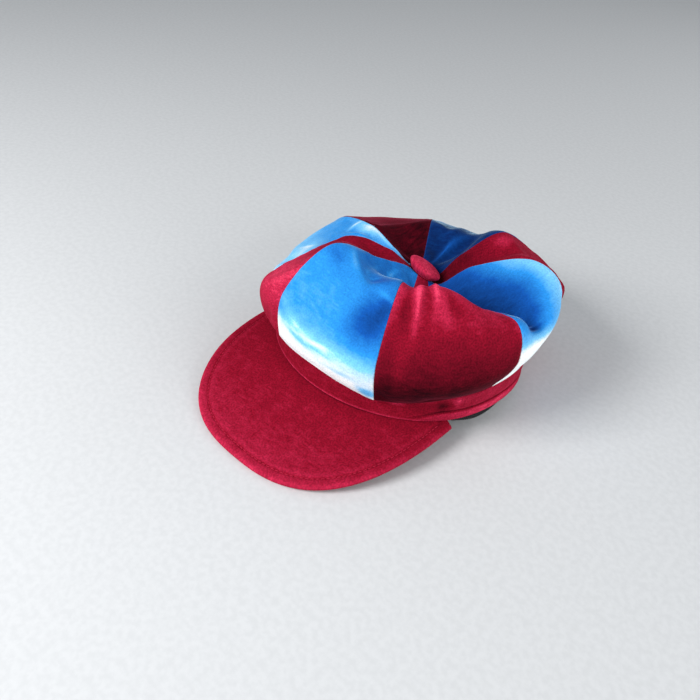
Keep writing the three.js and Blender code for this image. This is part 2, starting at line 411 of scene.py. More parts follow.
def smooth_curve(corners, count):
    """Points at even steps on a smooth curve through the corners, and its unit direction there."""
    corners = np.array(corners, float)
    padded = np.vstack([corners[:1], corners, corners[-1:]])
    place = np.linspace(0, len(corners) - 1, FINE_STEPS + 1)
    before = np.minimum(place.astype(int), len(corners) - 2)
    w = (place - before)[:, None]
    p0, p1, p2, p3 = (padded[before + k] for k in range(4))
    v1, v2 = (p2 - p0) / 2, (p3 - p1) / 2
    curve = (2 * p1 - 2 * p2 + v1 + v2) * w**3 + (3 * p2 - 3 * p1 - 2 * v1 - v2) * w**2 + v1 * w + p1
    run = np.concatenate([[0], np.cumsum(np.linalg.norm(np.diff(curve, axis=0), axis=1))])
    even = np.linspace(0, run[-1], count)
    points = np.stack([np.interp(even, run, curve[:, k]) for k in (0, 1)], axis=1)
    return points, unit(np.gradient(points, axis=0))


def panel_corners(index, across):
    """A panel's turning points (radius, height) part way across it, and its bearing and swing there."""
    panel, first, last = PANELS[index], SEAMS[index], SEAMS[(index + 1) % len(SEAMS)]
    swell = math.sin(math.pi * across)
    mix = {key: first[key] + (last[key] - first[key]) * across for key in SEAM_COLUMNS}
    turn = 360 if last["bearing"] < first["bearing"] else 0
    seat = math.radians(mix["bearing"] + turn * across)
    hem_x, hem_y = on_oval(seat)
    hem_r = math.hypot(hem_x - CROWN["x"], hem_y - CROWN["y"]) + GAP
    hem_z = float(rim_height(seat)) + BAND["height"] + GAP
    bearing = math.atan2(hem_x - CROWN["x"], CROWN["y"] - hem_y)
    swing = math.radians(mix["swing"])
    downhill = math.cos(bearing + swing - math.radians(BUTTON["lean_bearing"]))
    eye_z = CROWN["z"] - CROWN["eye"] * math.tan(math.radians(BUTTON["lean"])) * downhill
    dip = panel["dip"] * swell**2
    corners = (
        (hem_r, hem_z),
        (mix["low_r"] + panel["tuck"] * swell, mix["low_z"] - panel["sag"] * swell),
        (mix["wide_r"] + panel["puff"] * swell, mix["wide_z"] + panel["lift"] * swell),
        (mix["crest_r"], mix["crest_z"] - dip),
        (mix["crest_r"] / 2, mix["mid_z"] - dip),
        (CROWN["hollow"], mix["hollow_z"]),
        (CROWN["eye"], eye_z),
    )
    return corners, bearing, swing


print("front panel's middle section in mm:",
      [tuple(round(c) for c in corner) for corner in panel_corners(0, 0.5)[0]])

# %% [markdown]
# The velvet isn't smooth. A row for each dent or soft fold gives its panel, its place across it and down
# from the button, its depth, its reach both ways and how far it is turned. A negative depth stands up as a
# fold. The deeper dents repeat the solids' own, and the small folds are only in the cloth.

# %% Dents and folds
MARK_COLUMNS = ("panel", "across", "down", "amount", "wide", "long", "turn")
DENTS = table(
    MARK_COLUMNS,
    ("left", 0.3, 0.5, 16, 0.2, 0.16, 0),
    ("front", 0.82, 0.56, 5, 0.14, 0.13, 0),
    ("back", 0.3, 0.25, 5, 0.16, 0.12, 0),
    ("back", 0.62, 0.33, -4, 0.1, 0.16, 0),
    ("right", 0.42, 0.36, -4, 0.1, 0.14, 0),
    ("right", 0.68, 0.4, 6, 0.14, 0.14, 0),
    ("front", 0.93, 0.52, -1.2, 0.03, 0.04, 0),
    ("front", 0.62, 0.41, 4, 0.2, 0.06, 0),
    ("front_left", 0.22, 0.53, -3, 0.04, 0.13, 0),
    ("front_left", 0.13, 0.52, 3, 0.045, 0.1, 0),
    ("front_left", 0.31, 0.49, 2, 0.035, 0.08, 0),
    ("front_left", 0.37, 0.48, -2.2, 0.035, 0.09, 8),
    ("front_left", 0.42, 0.55, -1.4, 0.06, 0.07, 40),
    ("front_left", 0.53, 0.54, 1.4, 0.05, 0.06, 40),
    ("left", 0.34, 0.66, 2.4, 0.16, 0.018, 0),
    ("left", 0.34, 0.7, -1.2, 0.16, 0.03, 0),
    ("right", 0.14, 0.49, -2.4, 0.16, 0.03, 0),
    ("back", 0.56, 0.2, -1.8, 0.05, 0.12, 37),
    ("back_left", 0.8, 0.36, -1.5, 0.12, 0.05, 0),
)


def marks(rows, name, across, down):
    """The sum of the rows' marks on a panel, at each place across and down it."""
    total = np.zeros(np.broadcast(across, down).shape)
    for mark in (m for m in rows if m["panel"] == name):
        turn = math.radians(mark["turn"])
        u, v = across - mark["across"], down - mark["down"]
        sideways = u * math.cos(turn) + v * math.sin(turn)
        lengthways = v * math.cos(turn) - u * math.sin(turn)
        total = total + mark["amount"] * bell(sideways, mark["wide"]) * bell(lengthways, mark["long"])
    return total


print("dents and folds:", len(DENTS))

# %% [markdown]
# A grid is laid on each panel: columns across it, rows from the headband up to the button.
# The columns crowd towards the seams, where the velvet turns in, and spread out over the smooth middle.
# First comes the plain surface of all eight panels, because a seam needs to know both its neighbours.

# %% Plain surface of the panels
COLUMNS, ROWS = 72, 150
SEAM_CROWD = 0.55


def crowded(count, crowd):
    """Steps from 0 to 1 that are even where crowd is 0, and close up at both ends as it nears 1."""
    even = np.linspace(0, 1, count + 1)
    return even + crowd * (0.5 - 0.5 * np.cos(np.pi * even) - even)


ACROSS = crowded(COLUMNS, SEAM_CROWD)
DOWN = np.linspace(1, 0, ROWS + 1)


def plain_panel(index):
    """The outer face of a panel as an array of points: column, row, xyz in millimetres."""
    surface = np.zeros((COLUMNS + 1, ROWS + 1, 3))
    for i, across in enumerate(ACROSS):
        corners, bearing, swing = panel_corners(index, across)
        points, direction = smooth_curve(corners, ROWS + 1)
        inward = marks(DENTS, PANELS[index]["name"], across, DOWN) * math.sin(math.pi * across)
        radius = points[:, 0] - direction[:, 1] * inward
        height = points[:, 1] + direction[:, 0] * inward
        angle = bearing + swing * (1 - DOWN)
        surface[i, :, 0] = CROWN["x"] + radius * np.sin(angle)
        surface[i, :, 1] = CROWN["y"] - radius * np.cos(angle)
        surface[i, :, 2] = height
    return surface


def outward_normals(surface):
    """Unit normals of a grid of points."""
    return unit(np.cross(np.gradient(surface, axis=0), np.gradient(surface, axis=1)))


plain = [plain_panel(k) for k in range(len(PANELS))]
normals = [outward_normals(s) for s in plain]
print("points in a panel:", plain[0].shape[0] * plain[0].shape[1])

# %% [markdown]
# Cut cloth is a little fuller than the space that it is sewn into, and the extra gathers in soft puckers
# along the seams. Waves could be drawn there, but a simulation finds them by itself: a coarse copy of each
# panel is pinned along its border, grows by a few per cent, and settles. Weak pins over the middle keep
# its shape, and only the settled height above the plain surface is used, capped, so nothing drifts.

# %% Let the cloth settle
SETTLE = {"every": 3, "fuller": 0.03, "frames": 16, "hold": 0.03, "cap": 1.8}


def laid_grid(name, points):
    """An object with a grid laid on an array of points in metres, and the column and row of each vertex."""
    columns, rows = points.shape[0] - 1, points.shape[1] - 1
    bm = bmesh.new()
    bmesh.ops.create_grid(bm, x_segments=columns, y_segments=rows, size=0.5)
    place = np.array([v.co for v in bm.verts])
    column = np.rint((place[:, 0] + 0.5) * columns).astype(int)
    row = np.rint((place[:, 1] + 0.5) * rows).astype(int)
    for vertex, point in zip(bm.verts, points[column, row]):
        vertex.co = point
    return into_scene(name, bm), column, row


def settle(points):
    """Simulates a sheet pinned along its border and returns the settled points."""
    sheet, column, row = laid_grid("settling", points)
    border = (column % (points.shape[0] - 1) == 0) | (row % (points.shape[1] - 1) == 0)
    pins = sheet.vertex_groups.new(name="sewn")
    pins.add(np.nonzero(~border)[0].tolist(), SETTLE["hold"], "REPLACE")
    pins.add(np.nonzero(border)[0].tolist(), 1.0, "REPLACE")
    cloth = sheet.modifiers.new("settle", "CLOTH")
    cloth.settings.quality = 8
    cloth.settings.mass = 0.15
    cloth.settings.vertex_group_mass = "sewn"
    cloth.settings.shrink_min = -SETTLE["fuller"]
    cloth.settings.bending_stiffness = 8
    cloth.settings.use_pressure = True
    cloth.settings.uniform_pressure_force = 0.5
    cloth.settings.effector_weights.gravity = 0.2
    cloth.point_cache.frame_end = SETTLE["frames"]
    for step in range(1, SETTLE["frames"] + 1):
        bpy.context.scene.frame_set(step)
    result = sheet.evaluated_get(bpy.context.evaluated_depsgraph_get()).data
    settled = points.copy()
    settled[column, row] = np.array([v.co for v in result.vertices])
    mesh = sheet.data
    bpy.data.objects.remove(sheet)
    bpy.data.meshes.remove(mesh)
    bpy.context.scene.frame_set(1)
    return settled


def averaged(line, width):
    """A line of values, each averaged with its neighbours over an odd width."""
    return np.convolve(np.pad(line, width // 2, mode="edge"), np.full(width, 1 / width), mode="valid")


def eased(values, factor):
    """Values of a coarse grid spread over a fine one, with the corners of the steps worn round."""
    for axis in (0, 1):
        count = values.shape[axis]
        fine = np.linspace(0, count - 1, (count - 1) * factor + 1)
        values = np.apply_along_axis(lambda line: np.interp(fine, np.arange(count), line), axis, values)
        values = np.apply_along_axis(averaged, axis, values, 2 * factor + 1)
    return values


def gathers(index):
    """How far a panel's settled cloth stands above its plain surface, in millimetres."""
    every = SETTLE["every"]
    coarse, normal = plain[index][::every, ::every], normals[index][::every, ::every]
    height = ((settle(coarse * MM) / MM - coarse) * normal).sum(axis=2)
    return eased(SETTLE["cap"] * np.tanh(height / SETTLE["cap"]), every)


settled = [gathers(k) for k in range(len(PANELS))]
print("settled by mm:", [(round(float(s.min()), 1), round(float(s.max()), 1)) for s in settled])

# %% [markdown]
# At a seam, both panels turn in and meet edge to edge, which makes the puffed look of a sewn cap.
# Each edge is rolled in along the direction that the two panels share there, so that they never cross.

# %% Rolled seams
ROLL = {"width": 1.0, "depth": 0.25}
SEAM_GAP = 0.02
UNEVEN = {"height": 0.4, "size": 26.0}
HEM_SMOOTH = 12.0


def rolled_in(distance):
    """Depth of a rounded edge at a distance from the seam."""
    t = 1 - np.clip(distance / ROLL["width"], 0, 1)
    return ROLL["depth"] * (1 - np.sqrt(1 - t * t))


def run_along(surface, axis):
    """Distance walked over the grid from its first row or column."""
    steps = np.linalg.norm(np.diff(surface, axis=axis), axis=2)
    start = np.zeros_like(np.take(steps, [0], axis=axis))
    return np.concatenate([start, np.cumsum(steps, axis=axis)], axis=axis)


def sewn_panel(index):
    """A panel's surface with its seams rolled in, its gathers and its unevenness."""
    surface, own = plain[index], normals[index]
    from_first, along = run_along(surface, 0), run_along(surface, 1)
    from_last = from_first[-1:] - from_first
    seam_first = own[:1] + normals[index - 1][-1:]
    seam_last = own[-1:] + normals[(index + 1) % len(PANELS)][:1]
    near_first = 1 - smooth(from_first / (2 * ROLL["width"]))[..., None]
    near_last = 1 - smooth(from_last / (2 * ROLL["width"]))[..., None]
    between = 1 - np.maximum(near_first, near_last)
    direction = unit(own * between + seam_first * near_first + seam_last * near_last)

    uneven = np.array([[noise.noise(p) for p in column] for column in surface / UNEVEN["size"]])
    height = settled[index] * smooth(along / HEM_SMOOTH) + UNEVEN["height"] * uneven
    sunk = np.maximum(np.maximum(rolled_in(from_first), rolled_in(from_last)), rolled_in(along))
    clear = (SEAM_GAP / 2) * (near_first - near_last) * unit(np.gradient(surface, axis=0))
    return surface + direction * (height - sunk)[..., None] + clear, from_first, along


sewn = [sewn_panel(k) for k in range(len(PANELS))]
print("panel lengths in mm:", [round(float(s[2][COLUMNS // 2, -1])) for s in sewn])

# %% [markdown]
# A piece of cloth starts as a grid made by an operator, whose vertices are then moved onto the surface.
# It carries a map in metres of cloth and the lift of its pile, which the velvet reads.
# Solidify gives it the thickness of pile and backing, with the woven back on the inner side.

# %% Cloth from a grid
def give_pile(mesh, cloth_map, lift):
    """Gives each vertex of a mesh its place on the flat cloth, in metres, and the lift of its pile."""
    corner = np.zeros(len(mesh.loops), int)
    mesh.loops.foreach_get("vertex_index", corner)
    layer = mesh.uv_layers.new(name="cloth")
    layer.uv.foreach_set("vector", cloth_map[corner].astype(np.float32).ravel())
    pile = mesh.attributes.new("lift", "FLOAT", "POINT")
    pile.data.foreach_set("value", lift.astype(np.float32))


def cloth_piece(name, surface, cloth_map, lift, finishes, thickness):
    """A sheet laid on an array of points, given its map, its lift and its two sides."""
    piece, column, row = laid_grid(name, surface * MM)
    piece.data.shade_smooth()
    give_pile(piece.data, cloth_map[column, row], lift[column, row])
    for finish in finishes:
        piece.data.materials.append(finish)
    wall = piece.modifiers.new("thickness", "SOLIDIFY")
    wall.thickness = thickness * MM
    wall.offset = -1
    wall.material_offset = 1
    return piece


def belongs(piece, node):
    """The piece rides on the cap's one body and stands for its solid, which is hidden."""
    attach(piece, "root")
    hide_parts(node)


print("cloth helper ready")

# %% [markdown]
# The lift of the pile is what tells one panel from the next of its colour. A row gives it at a few
# stations from the button down to the hem. Besides the pile's own lean it holds painted light: the hems of
# the falling sides are painted pale, as sheen seen at a grazing angle, and the backs, the valleys and the
# sides turned from the light are painted deep, as shade. Rows of marks then add single strokes, painted
# shade in the dents and painted highlights on the crests of the folds.

# %% Lift of the pile on the crown
STATIONS = (0, 0.15, 0.3, 0.45, 0.6, 0.72, 0.77, 0.81, 0.86, 0.92, 1)
PILE_AND_PAINTED_LIGHT = {
    "front": (0.4, 0.34, 0.34, 0.45, 0.51, 0.52, 0.6, 0.82, 0.95, 1.02, 1.05),
    "front_left": (0.6, 0.55, 0.55, 0.74, 0.5, 0.3, 0.2, 0.12, 0.04, 0, 0.12),
    "left": (0.2, 0.08, 0.04, 0.1, 0.4, 0.68, 0.94, 1.05, 1.05, 1.05, 1.05),
    "back_left": (0.1, 0.22, 0.44, 0.5, 0.5, 0.49, 0.49, 0.49, 0.49, 0.49, 0.49),
    "back": (0.0, 0.02, 0.02, 0.06, 0.2, 0.45, 0.6, 0.7, 0.8, 0.9, 0.95),
    "back_right": (0.05, 0.05, 0.06, 0.1, 0.2, 0.3, 0.35, 0.4, 0.4, 0.4, 0.4),
    "right": (0.6, 0.56, 0.5, 0.48, 0.5, 0.56, 0.62, 0.7, 0.8, 0.9, 0.95),
    "front_right": (0.4, 0.4, 0.42, 0.45, 0.78, 0.8, 0.74, 0.68, 0.64, 0.6, 0.55),
}
# Single strokes, with painted shade in the dents and painted highlights on the crests of the folds and the
# rims.
STROKES_AND_PAINTED_LIGHT = table(
    MARK_COLUMNS,
    ("front", 0.87, 0.61, -0.34, 0.17, 0.11, 0),
    ("front", 0.95, 0.54, -0.16, 0.1, 0.06, 0),
    ("front", 0.72, 0.64, -0.08, 0.12, 0.08, 0),
    ("front", 0.75, 0.4, -0.16, 0.2, 0.05, 0),
    ("front", 0.45, 0.365, 0.14, 0.06, 0.012, 25),
    ("front", 0.62, 0.38, 0.1, 0.07, 0.012, -15),
    ("front", 0.36, 0.15, 0.2, 0.12, 0.03, 20),
    ("front", 0.5, 0.2, 0.12, 0.1, 0.025, -30),
    ("front", 0.28, 0.25, 0.1, 0.08, 0.025, 30),
    ("front", 0.15, 0.46, -0.12, 0.12, 0.03, 0),
    ("front", 0.25, 0.4, 0.13, 0.22, 0.018, 11),
    ("front", 0.9, 0.49, 0.2, 0.1, 0.015, 10),
    ("front", 0.38, 0.835, -0.2, 0.13, 0.013, 0),
    ("front", 0.58, 0.826, -0.12, 0.1, 0.008, 3),
    ("front", 0.75, 0.87, -0.14, 0.12, 0.012, 0),
    ("front", 0.95, 0.92, -0.4, 0.08, 0.03, 0),
    ("front", 0.06, 0.8, -0.2, 0.16, 0.03, 0),
    ("front", 0.3, 0.79, 0.13, 0.09, 0.008, 4),
    ("front", 0.55, 0.805, 0.13, 0.12, 0.008, -3),
    ("front_left", 0.22, 0.53, 0.26, 0.035, 0.13, 0),
    ("front_left", 0.13, 0.52, -0.26, 0.05, 0.1, 0),
    ("front_left", 0.31, 0.49, -0.2, 0.03, 0.07, 0),
    ("front_left", 0.37, 0.48, 0.2, 0.035, 0.08, 8),
    ("front_left", 0.44, 0.58, 0.18, 0.06, 0.05, 40),
    ("front_left", 0.57, 0.605, 0.08, 0.12, 0.035, 0),
    ("front_left", 0.53, 0.54, -0.2, 0.08, 0.04, 40),
    ("front_left", 0.15, 0.72, 0.14, 0.05, 0.1, 0),
    ("front_left", 0.0, 0.65, 0.12, 0.03, 0.3, 0),
    ("front_left", 1.0, 0.65, 0.15, 0.03, 0.2, 0),
    ("front_left", 0.85, 0.64, 0.06, 0.15, 0.12, 0),
    ("left", 1.0, 0.42, 0.62, 0.25, 0.22, 0),
    ("left", 0.8, 0.6, 0.1, 0.2, 0.08, 0),
    ("left", 0.45, 0.56, -0.14, 0.2, 0.05, 0),
    ("left", 0.36, 0.6, -0.2, 0.14, 0.05, 0),
    ("left", 0.4, 0.755, 0.38, 0.5, 0.04, 0),
    ("left", 0.8, 0.725, 0.36, 0.2, 0.03, 0),
    ("left", 0.85, 0.93, -0.42, 0.4, 0.11, 0),
    ("left", 0.7, 0.83, -0.3, 0.22, 0.022, 12),
    ("left", 0.95, 0.78, -0.3, 0.14, 0.05, 20),
    ("left", 0.34, 0.655, -0.45, 0.14, 0.022, 0),
    ("back_left", 0.8, 0.36, 0.2, 0.12, 0.05, 0),
    ("back", 0.56, 0.2, 0.25, 0.05, 0.12, 37),
    ("right", 0.13, 0.38, 0.36, 0.13, 0.1, 0),
    ("right", 0.14, 0.495, 0.3, 0.16, 0.016, 0),
    ("right", 0.05, 0.3, 0.2, 0.05, 0.2, 0),
    ("right", 0.7, 0.7, 0.16, 0.04, 0.08, 30),
    ("right", 0.85, 0.68, 0.3, 0.28, 0.1, 0),
)
# A narrow painted highlight along each seam.
SEAM_HIGHLIGHT = {"lift": 0.04, "width": 0.8}
SOFTEN = 9


def crown_lift(name, to_seam):
    """The lift all over a panel: its stations and marks, which hold painted sheen and shade, and a narrow
    painted highlight at its seams.
    """
    stations = averaged(np.interp(DOWN, STATIONS, PILE_AND_PAINTED_LIGHT[name]), SOFTEN)
    strokes = marks(STROKES_AND_PAINTED_LIGHT, name, ACROSS[:, None], DOWN[None, :])
    return stations[None, :] + strokes + SEAM_HIGHLIGHT["lift"] * bell(to_seam, SEAM_HIGHLIGHT["width"])


print("stations:", len(STATIONS), "strokes:", len(STROKES_AND_PAINTED_LIGHT))

# %% [markdown]
# Now the eight panels are made, alternating blue and crimson.

# %% Crown panels
PANEL_CLOTH = 1.2
for k, panel in enumerate(PANELS):
    surface, across_run, along_run = sewn[k]
    cloth_map = np.stack([along_run, across_run - across_run[COLUMNS // 2]], axis=2) * MM + k
    lift = crown_lift(panel["name"], np.minimum(across_run, across_run[-1:] - across_run))
    finishes = VELVETS[panel["colour"]]
    piece = cloth_piece(panel["name"] + "_panel", surface, cloth_map, lift, finishes, PANEL_CLOTH)
    belongs(piece, "crown_panel_" + panel["name"])

# %% [markdown]
# The headband and the ribbon inside it are closed rings. A circle becomes the flat section, is spun once
# round, and each vertex is then laid on the oval by its bearing, its depth in the wall and its height.
# Spinning keeps the ring closed, which a bent grid wouldn't.

# %% Rings laid on the oval
SPIN_RADIUS = 1.0
RING_WELD = 0.01


def flat_section(wall, height, segments, rounding):
    """A bmesh with a closed upright section: outward is x, from minus wall to 0, and height is z."""
    bm = bmesh.new()
    bmesh.ops.create_circle(bm, segments=segments, radius=1)
    half = segments // 2
    for i, vertex in enumerate(sorted(bm.verts, key=lambda v: math.atan2(v.co.y, v.co.x))):
        outer = i < half
        share = (i if outer else segments - 1 - i) / (half - 1)
        z = share * height
        turned = max(0.0, 1 - min(z, height - z) / rounding)
        tuck = min(rounding, wall / 2) * (1 - math.sqrt(1 - turned * turned))
        vertex.co = (SPIN_RADIUS + (-tuck if outer else tuck - wall) * MM, 0, z * MM)
    return bm


def spin_round(bm, steps, weld):
    """Spins a section once round the upright axis and joins the vertices that meet."""
    bmesh.ops.spin(bm, geom=bm.verts[:] + bm.edges[:], axis=(0, 0, 1), cent=(0, 0, 0), dvec=(0, 0, 0),
                   angle=2 * math.pi, steps=steps, use_merge=True)
    bmesh.ops.remove_doubles(bm, verts=bm.verts, dist=weld * MM)


def ring_piece(name, bm, steps, place, finish):
    """Spins a section and lays it on the oval: place gives the points and lifts of the spun section."""
    spin_round(bm, steps, RING_WELD)
    spun = np.array([v.co for v in bm.verts])
    bearing = np.arctan2(spun[:, 0], -spun[:, 1])
    outward = (np.hypot(spun[:, 0], spun[:, 1]) - SPIN_RADIUS) / MM
    points, lift = place(bearing, outward, spun[:, 2] / MM)
    for vertex, point in zip(bm.verts, points * MM):
        vertex.co = point
    bmesh.ops.recalc_face_normals(bm, faces=bm.faces)
    piece = into_scene(name, bm)
    piece.data.shade_smooth()
    around = bearing * (BAND["half_width"] + BAND["half_length"]) / 2
    give_pile(piece.data, np.stack([points[:, 2], around], axis=1) * MM, lift)
    piece.data.materials.append(finish)
    return piece


print("ring helper ready")

# %% [markdown]
# The headband is velvet folded over at its lower edge and sewn down 8 mm above it, so a puffed roll shows
# below a sunken line. At the front the peak is sewn in along that line and hides the roll, so there the
# line runs down to the rim, and the band drops a little onto the peak. The upper strip is slightly gathered
# under the weight of the crown, and a few puckers show near the left end of the peak.

# %% Headband
BAND_STEPS = 320
BAND_SECTION = {"segments": 64, "rounding": 0.8}
ROLL_LINE = {"height": 8, "from": 36, "to": 57, "depth": 1.0, "width": 1.0, "puff": 0.5}
ROLL_SHADE = {"lift": -0.4, "width": 0.9}
BAND_GATHERS = {"height": 0.35, "pitch": 9.0, "seed": 60.5}
WANDER = {"pace": 5, "least": 0.55, "swing": 0.9}
OVER_PEAK = {"ends": 58, "fade": 5, "drop": 0.2, "tall": 3.0}
# A painted highlight along the band's lower edge over the peak.
PEAK_FOLD_HIGHLIGHT = {"lift": 0.3, "height": 1.2, "width": 0.8}
# A painted highlight on the wearer's left of the band, stronger on its roll.
LEFT_SIDE_HIGHLIGHT = {"bearing": 80, "reach": 30, "lift": 0.1, "roll_lift": 0.2, "fade": 2}
PLAIN_LIFT = 0.5
THINNEST_ROLL = 0.1
# A pucker's lift paints shade in its pocket and highlights on its ridges.
PUCKER_COLUMNS = ("bearing", "height", "depth", "lift", "wide", "tall")
PUCKERS = table(
    PUCKER_COLUMNS,
    (36, 14, -0.6, 0.25, 3.5, 1.4),
    (46, 12, 0, -0.12, 8, 6),
    (56, 13, 1.4, -0.45, 3, 4),
    (62, 17, -0.5, 0.25, 2.5, 3),
)


def wavering(place, pitch, seed):
    """A wave of about that pitch whose pace and height wander."""
    pace = np.vectorize(lambda s: noise.noise((s / (3 * pitch), seed, 0.5)))(place)
    strength = np.vectorize(lambda s: noise.noise((s / (2 * pitch), seed, 7.5)))(place)
    wave = np.sin(2 * np.pi * place / pitch + WANDER["pace"] * pace)
    return wave * (WANDER["least"] + WANDER["swing"] * strength)


def arch(share):
    """A half wave that starts from 0, is 1 half way and ends at 0."""
    return np.sin(np.pi * np.clip(share, 0, 1))


def roll_height(bearing):
    """Height of the sunken line above the rim."""
    turned = np.degrees(np.abs(np.arctan2(np.sin(bearing), np.cos(bearing))))
    stretch = ROLL_LINE["to"] - ROLL_LINE["from"]
    return ROLL_LINE["height"] * smooth((turned - ROLL_LINE["from"]) / stretch)


def headband_place(bearing, outward, height):
    """Points and lifts of the headband for its spun section."""
    line = roll_height(bearing)
    shown = line / ROLL_LINE["height"]
    groove = ROLL_LINE["depth"] * shown * bell(height - line, ROLL_LINE["width"])
    roll = ROLL_LINE["puff"] * shown * arch(height / np.maximum(line, THINNEST_ROLL))
    wave = wavering(bearing * BAND["half_width"], BAND_GATHERS["pitch"], BAND_GATHERS["seed"])
    gathered = BAND_GATHERS["height"] * wave * arch((height - line) / (BAND["height"] - line))
    relief = roll - groove + gathered
    # The fold paints a highlight along the lower edge over the peak, and the shade paints a shadow in the
    # sunken line.
    fold = PEAK_FOLD_HIGHLIGHT["lift"] * (1 - shown) * bell(height - PEAK_FOLD_HIGHLIGHT["height"], PEAK_FOLD_HIGHLIGHT["width"])
    shade = ROLL_SHADE["lift"] * shown * bell(height - line, ROLL_SHADE["width"])
    lift = PLAIN_LIFT + fold + shade
    for pucker in PUCKERS:
        reach = bell(np.degrees(bearing) - pucker["bearing"], pucker["wide"])
        reach = reach * bell(height - pucker["height"], pucker["tall"])
        relief = relief - pucker["depth"] * reach
        lift = lift + pucker["lift"] * reach
    x, y = on_oval(bearing, -(outward + np.where(outward > -WALL / 2, relief, 0)))
    on_left = bell(bearing - math.radians(LEFT_SIDE_HIGHLIGHT["bearing"]), math.radians(LEFT_SIDE_HIGHLIGHT["reach"]))
    below_line = smooth((line - height) / LEFT_SIDE_HIGHLIGHT["fade"])
    lift = lift + on_left * (LEFT_SIDE_HIGHLIGHT["lift"] + LEFT_SIDE_HIGHLIGHT["roll_lift"] * below_line)
    over_peak = 1 - smooth((np.degrees(np.abs(bearing)) - OVER_PEAK["ends"]) / OVER_PEAK["fade"])
    drop = OVER_PEAK["drop"] * over_peak * bell(height, OVER_PEAK["tall"])
    return np.stack([x, y, rim_height(bearing) + height - drop], axis=1), lift


band_section = flat_section(WALL, BAND["height"], **BAND_SECTION)
headband = ring_piece("headband_velvet", band_section, BAND_STEPS, headband_place, crimson_velvet)
belongs(headband, "headband")
print("headband faces:", len(headband.data.polygons))

# %% [markdown]
# Inside sits a ribbed black ribbon that slips out below the headband on the wearer's left.
# Its ribs run up and down and are real ripples, four steps to each, because they show from below.

# %% Sweatband
RIBBON = {"wall": 1.3, "rise": 18.5, "shows": 8.5, "shows_at": 78, "shows_over": 17}
RIBBON_SECTION = {"segments": 24, "rounding": 0.5}
RIBS, STEPS_TO_RIB = 340, 4
RIB_HEIGHT = 0.22


def sweatband_place(bearing, outward, height):
    """Points of the ribbon for its spun section; it has no pile, so its lifts are 0."""
    rim = rim_height(bearing)
    offset = bearing - math.radians(RIBBON["shows_at"])
    foot = np.maximum(0, rim - RIBBON["shows"] * bell(offset, math.radians(RIBBON["shows_over"])))
    ribs = RIB_HEIGHT * np.cos(RIBS * bearing)
    inner = outward < -RIBBON["wall"] / 2
    inward = WALL + GAP + RIB_HEIGHT - outward + np.where(inner, ribs, -ribs)
    x, y = on_oval(bearing, inward)
    z = foot + (rim + RIBBON["rise"] - foot) * height / RIBBON["rise"]
    return np.stack([x, y, z], axis=1), np.zeros(len(x))


ribbon_section = flat_section(RIBBON["wall"], RIBBON["rise"], **RIBBON_SECTION)
rib_steps = STEPS_TO_RIB * RIBS
sweatband = ring_piece("sweatband_ribbon", ribbon_section, rib_steps, sweatband_place, black_ribbon)
belongs(sweatband, "sweatband")
print("sweatband faces:", len(sweatband.data.polygons))

# %% [markdown]
# The peak is a stiff board between two velvet covers, bagged out and sewn through 6.5 mm inside its edge.
# Its outline is a rounded oval, its inner side follows the headband, and the middle of its edge rests on
# the table. Each cover bends round the edge to meet the other half way down.

# %% The peak's face and edge
PEAK = {"half_width": 87, "front": 161, "rear": 47, "roundness": 2.5, "aside": -1.8}
PEAK_FALL = {"dish": 1.3, "edge": 3.9}
PEAK_ENDS = {"seam": 60, "height": 15.5, "curve": 3}
PEAK_COLUMNS, PEAK_ROWS = 170, 84
END_CROWD, EDGE_CROWD = 0.9, 1.6
PEAK_THICKNESS = 2 * WALL + GAP


def peak_edge(across):
    """The peak's outline in plan and the height of its upper face there."""
    turn = (across * 2 - 1) * math.pi / 2
    side, ahead = np.abs(np.sin(turn)), np.abs(np.cos(turn))
    power = 2 / PEAK["roundness"]
    x = PEAK["aside"] + PEAK["half_width"] * np.sign(turn) * side**power
    y = -PEAK["rear"] - (PEAK["front"] - PEAK["rear"]) * ahead**power
    z = PEAK_FALL["edge"] + (PEAK_ENDS["height"] - PEAK_FALL["edge"]) * side ** PEAK_ENDS["curve"]
    return np.stack([x, y, z], axis=-1)


def peak_face():
    """The peak's upper face before its edge is rounded: columns across, rows from the edge to the band."""
    across = crowded(PEAK_COLUMNS, END_CROWD)[:, None]
    along = 1 - np.linspace(0, 1, PEAK_ROWS + 1)[None, :] ** EDGE_CROWD
    bearing = np.radians((across * 2 - 1) * PEAK_ENDS["seam"])
    seam_x, seam_y = on_oval(bearing, WALL / 2)
    seam = np.stack([seam_x, seam_y, rim_height(bearing) - GAP], axis=2)
    edge = peak_edge(across)
    share = along[..., None]
    drop = 1 - (1 - share) ** PEAK_FALL["dish"]
    return np.concatenate([seam[..., :2] + (edge - seam)[..., :2] * share,
                           seam[..., 2:] + (edge - seam)[..., 2:] * drop], axis=2)


face = peak_face()
print("peak reaches", round(-face[..., 1].min()), "mm ahead")

# %% [markdown]
# Each cover rolls over at the peak's edge and its two short ends, and the stitching pulls both covers in
# along one line that keeps its distance from the edge. So for every point of the grid the distance to the
# nearest stretch of the border is measured first. The roll, the line and the lift all follow from it.

# %% Peak covers
STITCH_LINE = {"inside": 6.5, "depth": 0.4, "width": 0.8}
PUFF = {"inside": 10.5, "height": 0.2, "width": 4.0}
EDGE_ROUND = 2.6
EDGE_GAP = 0.1
PEAK_UNEVEN = {"height": 0.3, "size": 30, "seed": 3.3}
# Painted light along the peak's border: a highlight on the rolled edge, shade in the stitched line and a
# highlight just inside it.
EDGE_LIGHT_AND_SHADE = table(
    ("inside", "lift", "width"),
    (0, 0.12, 2.5),
    (6.5, -0.12, 0.8),
    (8.7, 0.05, 1.6),
)
